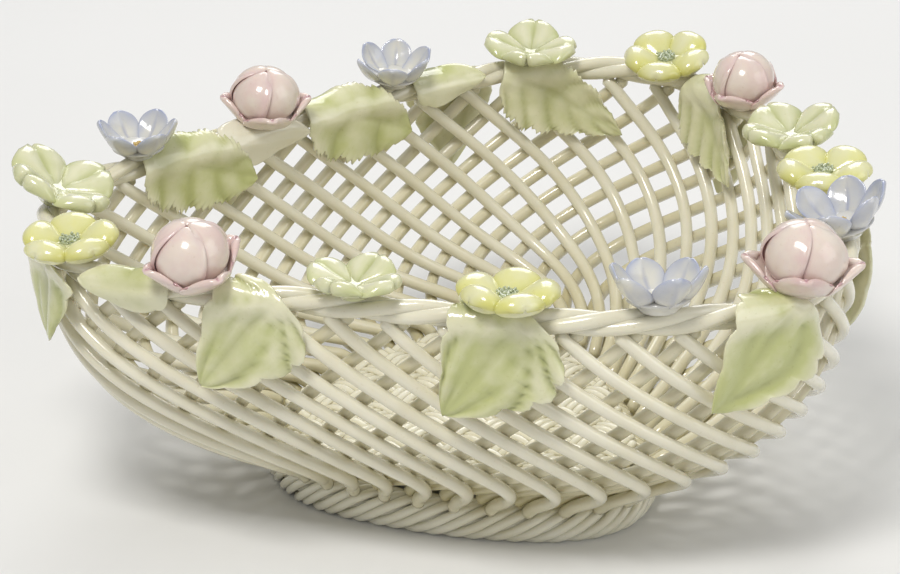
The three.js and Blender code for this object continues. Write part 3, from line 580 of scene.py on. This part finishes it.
# Each row: share of the rim, side, heading, then the shares of length, width and rise, the lobes,
# the depths of teeth and pleats, the fan of the veins, the bluntness of the tip and the green.
leaf_places = {
    "leaf_inside_left": (0.411, -1, 160, 1.3, 0.85, 1.6, 6, 0.22, 0.55, 0.2, 2.3, 1.1),
    "leaf_inside_back_left": (0.320, -1, 160, 1.26, 0.82, 1.7, 5, 0.18, 0.8, 0.3, 2.3, 1.0),
    "leaf_inside_back": (0.212, -1, 158, 1.42, 0.75, 1.2, 6, 0.18, 0.8, 0.1, 1.35, 0.6),
    "leaf_inside_right": (0.110, -1, 146, 1.15, 0.85, 1.4, 6, 0.12, 0.8, 0.1, 1.35, 0.6),
    "leaf_outside_left_end": (0.527, 1, 92, 0.62, 0.75, 1.2, 3, 0.02, 0.7, 0.8, 1.35, 1.1),
    "leaf_outside_front_left": (0.633, 1, 136, 1.05, 1.0, 1.4, 4, 0.02, 0.9, 0.9, 1.35, 0.9),
    "leaf_outside_front": (0.735, 1, 132, 1.06, 1.15, 1.6, 5, 0.03, 1.1, 0.9, 1.35, 1.1),
    "leaf_outside_front_right": (0.844, 1, 138, 1.05, 1.0, 1.5, 5, 0.03, 1.1, 0.6, 1.35, 1.3),
    "leaf_outside_right_end": (0.945, 1, 95, 0.85, 0.9, 1.2, 3, 0.04, 0.8, 0.6, 1.35, 1.0),
    "leaf_outside_back_right": (0.100, 1, 88, 0.85, 0.95, 1.2, 4, 0.05, 0.7, 0.5, 1.35, 0.8),
    "leaf_outside_back": (0.232, 1, 92, 0.8, 0.95, 1.2, 3, 0.04, 0.8, 0.7, 1.35, 0.8),
    "leaf_outside_back_left": (0.355, 1, 90, 0.75, 0.9, 1.2, 3, 0.05, 0.7, 0.6, 1.35, 0.8),
    "leaf_on_rim_back": (0.260, -1, 177, 0.8, 0.54, 1.5, 2, 0.02, 0.5, 0.3, 2.0, 0.8),
    "leaf_on_rim_front_left": (0.586, 1, 177, 0.8, 0.54, 1.4, 2, 0.02, 0.5, 0.3, 2.0, 0.8),
}
for name, place in leaf_places.items():
    make_piece(f"toothed_{name}", [leaf_skin(*place)], leaf_glaze, "leaf_green_glaze", name)

# The blossoms are built petal by petal on a small cup of clay and stuck to the top of the rim
# rope. Petals are brushed with colour, and painted shade darkens the creases. One pink blossom at the
# back also sits on a plain ivory pad, cut like a leaf.
ROPE_RADIUS, SEAT_GAP = 3.3, 0.2
# For each kind: the colour brushed on, the clay's own colour, and the darker colour that the slow drift and
# the painted shade mix in.
YELLOW, YELLOW_BASE, YELLOW_DRIFT_AND_SHADE = (0.70, 0.69, 0.24), (0.74, 0.73, 0.48), (0.57, 0.55, 0.14)
BLUE, BLUE_BASE, BLUE_DRIFT_AND_SHADE = (0.41, 0.45, 0.56), (0.72, 0.70, 0.60), (0.24, 0.28, 0.47)
GREEN, GREEN_BASE, GREEN_DRIFT_AND_SHADE = (0.54, 0.57, 0.28), (0.73, 0.72, 0.53), (0.40, 0.43, 0.16)
PINK, PINK_BASE, PINK_DRIFT_AND_SHADE = (0.68, 0.44, 0.46), (0.77, 0.68, 0.59), (0.50, 0.24, 0.27)


def bend(u, corners):
    """A cubic bend through the plane: the usual mix of four corner points by powers of u."""
    p = np.array(corners, float)
    r, s = 1 - u, u
    mix = [r**3, 3 * r**2 * s, 3 * r * s**2, s**3]
    return sum(m * c for m, c in zip(mix, p[:, 0])), sum(m * c for m, c in zip(mix, p[:, 1]))


def swelling(u, power, sharpness):
    """Rises from 0 and falls back to 0: a power of the sine of a power of u."""
    return np.sin(math.pi * np.clip(u, 0, 1) ** power) ** sharpness


def petal_skins(surface, count, start=0.0, rows=40, columns=28, uneven=0.06, under=0.3):
    """Petals round a middle. A surface gives x, y, z, thickness, tint and painted shade for u from
    throat to tip and v across; each section is an ellipse of that thickness set along the surface's
    normal, and the petal is turned into its places by a rotation about the upright axis. One
    petal reaches and rises a little more than the next, by a sine of its number. Under is the
    share of the colour and of the painted shade on the underside."""
    s = np.linspace(0, 1, rows)[:, None]
    turn = np.linspace(0, FULL_TURN, columns, endpoint=False)[None, :]
    u = 1 - (1 - s) ** 1.6 + 0 * turn
    v = np.cos(turn) * np.where((s > 0) & (s < 1), 1, 0)
    x, y, z, thick, tint, painted_shade = surface(u, v)
    inner_u, inner_v = np.clip(u, 0.01, 0.97), v * 0.97
    point = np.stack(surface(inner_u, inner_v)[:3], -1)
    by_u = np.stack(surface(inner_u + 0.01, inner_v)[:3], -1) - point
    by_v = np.stack(surface(inner_u, inner_v + 0.01)[:3], -1) - point
    normal = unit(np.cross(by_u, by_v))
    fade = (np.clip(s * 8, 0, 1) * np.clip((1 - s) * 9, 0, 1)) ** 0.5
    points = np.stack([x, y, z], -1) + normal * (thick / 2 * np.sin(turn) * fade)[..., None]
    number = np.arange(count)[:, None, None]
    turns = start + FULL_TURN * number / count
    cos, sin = np.cos(turns), np.sin(turns)
    reach = 1 + uneven * np.sin(2.3 * number + 7 * start) - uneven / 2
    x, y, z = points[..., 0] * reach, points[..., 1], points[..., 2] * (2 - reach)
    placed = np.stack([x * cos - y * sin, x * sin + y * cos, z + 0 * cos], -1)
    upper = np.where(np.sin(turn) < 0, under, 1.0)
    marks = {
        "tint": np.broadcast_to(np.clip(tint * upper, 0, 1), placed.shape[:3]),
        "painted_shade": np.broadcast_to(np.clip(painted_shade * upper, 0, 1), placed.shape[:3]),
    }
    return placed, False, marks


def turned_skin(outline, columns=28, tint=0.0, painted_shade=0.1):
    """A knob turned about the upright axis from (radius, height) pairs joined smoothly, with an even
    tint and an even share of painted shade.
    """
    outline = np.array(outline, float)
    knots, fine = np.linspace(0, 1, len(outline)), np.linspace(0, 1, 6 * len(outline))
    radius, height = np.interp(fine, knots, outline[:, 0]), np.interp(fine, knots, outline[:, 1])
    soft = np.ones(5) / 5
    radius[2:-2], height[2:-2] = np.convolve(radius, soft, "valid"), np.convolve(height, soft, "valid")
    radius[0] = radius[-1] = 0
    turn = np.linspace(0, FULL_TURN, columns, endpoint=False)
    radius, height = radius[:, None], height[:, None] + 0 * turn
    points = np.stack([radius * np.cos(turn), radius * np.sin(turn), height], -1)
    marks = {"tint": np.full((1, *height.shape), tint), "painted_shade": np.full((1, *height.shape), painted_shade)}
    return points[None], False, marks


def primrose_petal(u, v):
    """Lobe as puffy as a pillow: a narrow throat, then width and thickness that swell together.
    The colour gathers along its sides, where it meets its neighbours, and painted shade darkens
    those sides and the throat."""
    r, z = bend(u, [(0.8, 1.7), (5.0, 1.6), (9.4, 3.8), (12.0, 3.2)])
    width = 6.0 * swelling(u, 1.5, 0.58)
    thick = 1.0 + 4.6 * swelling(u, 1.6, 0.75)
    tint = 0.1 + 0.9 * v**2 + 0.3 * np.clip(1 - u, 0, 1)
    painted_shade = 0.6 * np.abs(v) ** 5 + 0.5 * np.exp(-((u / 0.22) ** 2))
    return r, width * v, z - 0.9 * v**2, thick, tint, painted_shade


def bluebell_petal(u, v):
    """Spoon-shaped petal with a soft point. Its sides rise with the square of v, and a crease, a
    narrow bell in v, runs down its middle. The colour gathers at the edges and the tip; painted
    shade darkens the crease and the edges."""
    r, z = bend(u, [(0.9, 1.6), (5.6, 0.4), (9.4, 3.4), (11.6, 8.6)])
    width = 4.5 * swelling(u, 1.5, 0.66)
    crease = -0.45 * np.exp(-((v / 0.15) ** 2)) * swelling(u, 1, 0.5)
    cup = 1.8 * v**2 * swelling(u, 1.2, 0.6)
    tint = 0.05 + 0.5 * v**2 + 0.5 * u**3
    painted_shade = 0.45 * np.exp(-((v / 0.1) ** 2)) * swelling(u, 0.8, 1) + 0.3 * v**8
    return r - 0.5 * v**2 * u, width * v, z + crease + cup, 1.4 + 0 * u, tint, painted_shade


def shamrock_petal(u, v):
    """Broad heart-shaped lobe. A crease, a bell in v, runs down it to the notched tip; it rises
    in a low hump on either side, and its thick edges roll down. Painted shade darkens the crease
    and the throat."""
    r, z = bend(u, [(0.6, 2.0), (5.2, 2.2), (9.8, 6.2), (12.8, 4.2)])
    notch = 2.0 * np.exp(-((v / 0.25) ** 2)) * u**4
    width = 7.5 * swelling(u, 1.5, 0.6)
    crease = 0.9 * np.exp(-((v / 0.16) ** 2)) * swelling(u, 1.2, 0.8)
    thick = 1.8 + 1.6 * u
    hump = np.exp(-(((np.abs(v) - 0.45) / 0.25) ** 2))
    tint = 0.6 + 0.4 * v**4 + 0.3 * u**3 - 0.6 * hump
    painted_shade = 0.5 * np.exp(-((v / 0.08) ** 2)) * swelling(u, 1, 0.8) + 0.5 * np.exp(-((u / 0.2) ** 2))
    return r - notch - 1.2 * v**2 * u, width * v, z + 0.6 * hump * u - crease - 1.3 * v**4, thick, tint, painted_shade


def collar_petal(u, v):
    """Low outer petal of a bud: wrapped round it, with a lip that turns out to a soft point in
    the middle and dips to a crease on either side. Painted shade darkens its sides and, near the
    top, the creases beside the lip."""
    r, z = bend(u, [(3.0, 0.6), (8.6, 0.0), (8.8, 3.4), (9.6, 6.0)])
    turn = 0.86 * np.sqrt(np.clip(1 - u**8, 0, 1)) * v
    lip = 3.1 * np.exp(-((v / 0.5) ** 2)) * np.clip((u - 0.35) / 0.65, 0, 1) ** 1.6
    tint = 0.1 + 0.9 * np.clip(u, 0, 1) ** 4
    painted_shade = 0.5 * np.abs(v) ** 6 * u + 0.5 * np.exp(-(((u - 0.93) / 0.05) ** 2)) * np.abs(v)
    z = z + 0.3 * np.exp(-((v / 0.5) ** 2)) - 1.7 * v**2 * u
    return (r + lip) * np.cos(turn), (r + lip) * np.sin(turn), z, 1.5 + 0 * u, tint, painted_shade


def bud_petal(u, v):
    """Tall inner petal of a bud: wrapped round it with one edge outside its neighbour's and a
    thin raised rim near that edge. It closes in as it rises and turns a little to the top. Painted
    shade darkens the strip where its neighbour's edge lies over it."""
    r, z = bend(u, [(3.2, 1.6), (11.0, 2.8), (8.8, 13.6), (0.3, 13.8)])
    rim = 0.55 * np.exp(-(((v - 0.9) / 0.1) ** 2)) * swelling(u, 1, 0.3)
    turn = 1.0 * v + 0.5 * u**2
    under_neighbour = np.exp(-(((v + 0.54) / 0.07) ** 2)) * swelling(u, 0.8, 0.3)
    tint = 0.15 + 0.8 * np.exp(-(((v - 0.92) / 0.2) ** 2)) + 0.4 * u**3
    r = r + (0.5 * v + rim) * np.clip(4 * (1 - u), 0, 1)
    return r * np.cos(turn), r * np.sin(turn), z, 1.4 + 0 * u, tint, 0.8 * under_neighbour


def speckle_skins(count, reach, radius, height, seed):
    """Grains in the throat: small balls set out by the golden angle, with radius growing as the
    square root of their number, each nudged by a fixed random amount."""
    random = np.random.default_rng(seed)
    number = np.arange(count)
    distance, angle = reach * np.sqrt((number + 0.5) / count), 2.399963 * number
    centre = np.stack([distance * np.cos(angle), distance * np.sin(angle), height + 0 * distance], -1)
    centre += random.uniform(-0.25, 0.25, centre.shape)
    polar = np.linspace(0, math.pi, 7)[:, None]
    turn = np.linspace(0, FULL_TURN, 8, endpoint=False)[None, :]
    ball = [np.sin(polar) * np.cos(turn), np.sin(polar) * np.sin(turn), np.cos(polar) + 0 * turn]
    sizes = radius * random.uniform(0.8, 1.25, (count, 1, 1, 1))
    points = centre[:, None, None] + np.stack(ball, -1)[None] * sizes
    return points, False, {"tint": np.ones(points.shape[:3]), "painted_shade": np.zeros(points.shape[:3])}


petal_glazes = {
    "yellow": glaze_material("lemon_petal_glaze", YELLOW_BASE, YELLOW_DRIFT_AND_SHADE, YELLOW),
    "blue": glaze_material("sky_petal_glaze", BLUE_BASE, BLUE_DRIFT_AND_SHADE, BLUE),
    "green": glaze_material("shamrock_petal_glaze", GREEN_BASE, GREEN_DRIFT_AND_SHADE, GREEN),
    "pink": glaze_material("shell_petal_glaze", PINK_BASE, PINK_DRIFT_AND_SHADE, PINK),
}
# Each grain glaze's second colour is the darker one that the slow drift and the painted shade mix in.
sage_grain = glaze_material("sage_grain", (0.44, 0.49, 0.33), (0.26, 0.32, 0.18), bump=0.0003)
amber_grain = glaze_material("amber_grain", (0.62, 0.44, 0.14), (0.40, 0.22, 0.06), bump=0.0003)
cup_outline = [(0, -1.4), (3.6, -1.3), (5.0, 0.2), (7.6, 1.9), (5.4, 2.8), (0, 2.4)]
deep_cup_outline = [(0, -1.4), (4.2, -1.3), (6.0, 0.2), (8.6, 2.4), (6.6, 3.2), (0, 2.8)]
bud_outline = [(0, 2.0), (5.0, 3.0), (6.2, 6.5), (6.0, 10.0), (3.8, 12.6), (0, 13.6)]
broad_disc_outline = [(0, 2.4), (2.5, 2.5), (2.2, 3.2), (0, 3.3)]
small_disc_outline = [(0, 2.0), (1.4, 2.1), (1.2, 2.7), (0, 2.8)]


def set_on_rope(skins, share, lean, spin, size):
    """Moves skins from a blossom's own frame to its seat: scaled, spun, lifted to the top of the
    rope, leaned about the rope's way along, and put at its place on the rim."""
    path = ring_path(np.array([share]), RIM_HALF_LENGTH, RIM_HALF_WIDTH, 0)
    middle, along = path[0][0], path[2][0]
    leaned = Matrix.Rotation(math.radians(lean), 4, along)
    spun = Matrix.Rotation(math.radians(spin), 4, "Z")
    lifted = Matrix.Translation((0, 0, ROPE_RADIUS + SEAT_GAP)) @ spun
    seat = Matrix.Translation((middle[0], middle[1], RIM_HEIGHT))
    matrix = np.array(seat @ leaned @ lifted @ Matrix.Scale(size, 4))
    return [(points @ matrix[:3, :3].T + matrix[:3, 3], ring, marks) for points, ring, marks in skins]


# Each row: the kind, its share of the rim, its lean outwards and its spin in degrees, its size.
blossom_places = [
    ("green", 0.013, -8, 10, 1.04), ("pink", 0.068, -12, 40, 0.95), ("yellow", 0.128, -12, 25, 1.0),
    ("green", 0.196, -9, 70, 0.94), ("blue", 0.267, -5, 15, 0.92), ("pink", 0.342, -10, 0, 1.0),
    ("blue", 0.409, 0, 50, 0.94), ("green", 0.470, -20, 30, 1.12), ("yellow", 0.532, 2, 5, 1.0),
    ("pink", 0.594, 10, 20, 1.06), ("green", 0.662, 0, 45, 0.9), ("yellow", 0.725, -4, 60, 1.02),
    ("blue", 0.786, -10, 35, 1.06), ("pink", 0.849, 6, 75, 1.12), ("blue", 0.910, -14, 0, 1.1),
    ("yellow", 0.967, -4, 30, 1.03),
]
# The pad's row is written as the leaves' rows are.
PAD_NUMBER = 6
pad_place = (0.369, -1, 172, 1.0, 0.55, 1.35, 2, 0.02, 0.3, 0.3, 2.0, 0.0)
for number, (kind, *place) in enumerate(blossom_places, 1):
    name, glaze = f"{kind}_blossom_{number}", petal_glazes[kind]
    if kind == "yellow":
        petals = set_on_rope([turned_skin(cup_outline, tint=0.2), petal_skins(primrose_petal, 5)], *place)
        balls = speckle_skins(count=30, reach=2.6, radius=0.33, height=3.4, seed=number)
        grains = set_on_rope([turned_skin(broad_disc_outline), balls], *place)
        make_piece(f"{name}_puffy_petals", petals, glaze, "lemon_glaze", f"{name}_petals")
        make_piece(f"{name}_grains", grains, sage_grain, "sage_centre", f"{name}_stamens")
    elif kind == "blue":
        petals = set_on_rope([turned_skin(cup_outline), petal_skins(bluebell_petal, 6, under=0.8)], *place)
        balls = speckle_skins(count=10, reach=1.1, radius=0.36, height=2.9, seed=number)
        grains = set_on_rope([turned_skin(small_disc_outline), balls], *place)
        make_piece(f"{name}_pointed_petals", petals, glaze, "sky_blue_glaze", f"{name}_petals")
        make_piece(f"{name}_grains", grains, amber_grain, "amber_centre", f"{name}_stamens")
    elif kind == "green":
        petals = set_on_rope([turned_skin(cup_outline, tint=0.6), petal_skins(shamrock_petal, 4)], *place)
        make_piece(f"{name}_heart_petals", petals, glaze, "pale_green_glaze", f"{name}_petals")
    else:
        low = petal_skins(collar_petal, 4, rows=34, columns=40)
        tall = petal_skins(bud_petal, 4, start=0.4, rows=48, columns=56, uneven=0.02)
        collar = set_on_rope([turned_skin(deep_cup_outline), low], *place)
        # The bud's core, inside its petals, takes a quarter share of painted shade all over.
        bud = set_on_rope([turned_skin(bud_outline, tint=0.6, painted_shade=0.25), tall], *place)
        make_piece(f"{name}_low_petals", collar, glaze, "shell_pink_glaze", f"{name}_collar")
        make_piece(f"{name}_closed_petals", bud, glaze, "shell_pink_glaze", f"{name}_bud")
        if number == PAD_NUMBER:
            pad = leaf_skin(*pad_place)
            make_piece(f"{name}_pad", [pad], ivory_glaze, "ivory_glaze", f"{name}_collar")

# The basket stands on a plain pale sheet that curves up behind it, under soft studio light.
SHEET_HALF_WIDTH, SHEET_FRONT, SHEET_BACK, SHEET_CURVE, SHEET_HEIGHT = 3.0, -3.0, 1.6, 0.8, 3.0
LAMP_AIM = (0, 0, 0.05)
AIR_COLOUR, AIR_STRENGTH = (0.95, 0.95, 0.96, 1), 0.45


def studio_material():
    """Matt off-white paper with a faint mottle."""
    paper = bpy.data.materials.new("studio_paper")
    paper.use_nodes = True
    tree = paper.node_tree
    skin = tree.nodes["Principled BSDF"]
    skin.inputs["Roughness"].default_value = 0.9
    where = add_node(tree, "ShaderNodeTexCoord", (-800, 0))
    mottle = add_node(tree, "ShaderNodeTexNoise", (-600, 0), Scale=6.0, Detail=2.0)
    tone = add_node(tree, "ShaderNodeMix", (-300, 0), data_type="RGBA")
    tone.inputs[6].default_value = (0.72, 0.72, 0.71, 1)
    tone.inputs[7].default_value = (0.76, 0.76, 0.75, 1)
    tree.links.new(where.outputs["Object"], mottle.inputs["Vector"])
    tree.links.new(mottle.outputs["Fac"], tone.inputs["Factor"])
    tree.links.new(tone.outputs[2], skin.inputs["Base Color"])
    return paper


def sweep_sheet():
    """A sheet that runs flat from front to back, turns up in a quarter circle and goes on up."""
    arc = np.linspace(0, math.pi / 2, 16)[1:]
    flat = np.linspace(SHEET_FRONT, SHEET_BACK, 12)
    y = np.concatenate([flat, SHEET_BACK + SHEET_CURVE * np.sin(arc), [SHEET_BACK + SHEET_CURVE]])
    z = np.concatenate([0 * flat, SHEET_CURVE * (1 - np.cos(arc)), [SHEET_HEIGHT]])
    x = np.linspace(-SHEET_HALF_WIDTH, SHEET_HALF_WIDTH, 9)
    points = np.stack(np.broadcast_arrays(x, y[:, None], z[:, None]), -1)
    index = np.arange(len(y) * len(x)).reshape(len(y), len(x))
    faces = np.stack([index[:-1, :-1], index[:-1, 1:], index[1:, 1:], index[1:, :-1]], -1).reshape(-1, 4)
    mesh = bpy.data.meshes.new("studio_sheet")
    mesh.from_pydata(points.reshape(-1, 3).tolist(), [], faces.tolist())
    mesh.materials.append(studio_material())
    mesh.polygons.foreach_set("use_smooth", np.ones(len(faces), bool))
    sheet = bpy.data.objects.new("studio_sheet", mesh)
    bpy.context.scene.collection.objects.link(sheet)
    return sheet


sweep_sheet()


def softbox(name, place, size, power, colour):
    """A square lamp that faces the point it is aimed at, a little above the floor."""
    data = bpy.data.lights.new(name, "AREA")
    data.shape, data.size, data.energy, data.color = "SQUARE", size, power, colour
    lamp = bpy.data.objects.new(name, data)
    lamp.location = place
    away = Matrix.Translation(place).to_translation() - Matrix.Translation(LAMP_AIM).to_translation()
    lamp.rotation_mode = "QUATERNION"
    lamp.rotation_quaternion = away.to_track_quat("Z", "Y")
    bpy.context.scene.collection.objects.link(lamp)


softbox("key_softbox", (-0.42, -0.5, 1.25), size=0.4, power=11, colour=(1.0, 0.98, 0.95))
softbox("fill_softbox", (0.9, -0.6, 0.6), size=0.9, power=3.4, colour=(1.0, 1.0, 1.0))
softbox("back_softbox", (0.3, 0.9, 0.8), size=0.7, power=5.5, colour=(1.0, 1.0, 1.0))

world = bpy.data.worlds.new("studio_air")
world.use_nodes = True
world.node_tree.nodes["Background"].inputs["Color"].default_value = AIR_COLOUR
world.node_tree.nodes["Background"].inputs["Strength"].default_value = AIR_STRENGTH
bpy.context.scene.world = world
bpy.context.scene.view_settings.view_transform = "Standard"

# The camera stands where the photograph was taken from: about 92 cm away, 24 degrees up and
# turned 12 degrees off the basket's short axis, with a long lens.
CAMERA_AZIMUTH, CAMERA_ELEVATION, CAMERA_ROLL = (math.radians(a) for a in (-12.31, 23.92, -0.56))
CAMERA_DISTANCE, CAMERA_LENS, CAMERA_SENSOR, CAMERA_REACH = 0.9172, 143.2, 36, (0.05, 20)
CAMERA_TARGET = np.array([5.93 + PLAN_X, 10.27 + PLAN_Y, 42.67]) * MM

camera_back = np.array([
    math.sin(CAMERA_AZIMUTH) * math.cos(CAMERA_ELEVATION),
    -math.cos(CAMERA_AZIMUTH) * math.cos(CAMERA_ELEVATION),
    math.sin(CAMERA_ELEVATION),
])
level_right = unit(np.cross(-camera_back, [0, 0, 1.0]))
level_up = np.cross(level_right, -camera_back)
camera_right = level_right * math.cos(CAMERA_ROLL) + level_up * math.sin(CAMERA_ROLL)
camera_up = level_up * math.cos(CAMERA_ROLL) - level_right * math.sin(CAMERA_ROLL)
camera_axes = np.eye(4)
camera_axes[:3, 0], camera_axes[:3, 1], camera_axes[:3, 2] = camera_right, camera_up, camera_back
camera_axes[:3, 3] = CAMERA_TARGET + camera_back * CAMERA_DISTANCE
camera_data = bpy.data.cameras.new("studio_camera")
camera_data.lens, camera_data.sensor_width = CAMERA_LENS, CAMERA_SENSOR
camera_data.clip_start, camera_data.clip_end = CAMERA_REACH
camera = bpy.data.objects.new("studio_camera", camera_data)
camera.matrix_world = Matrix(camera_axes.tolist())
bpy.context.scene.collection.objects.link(camera)
bpy.context.scene.camera = camera
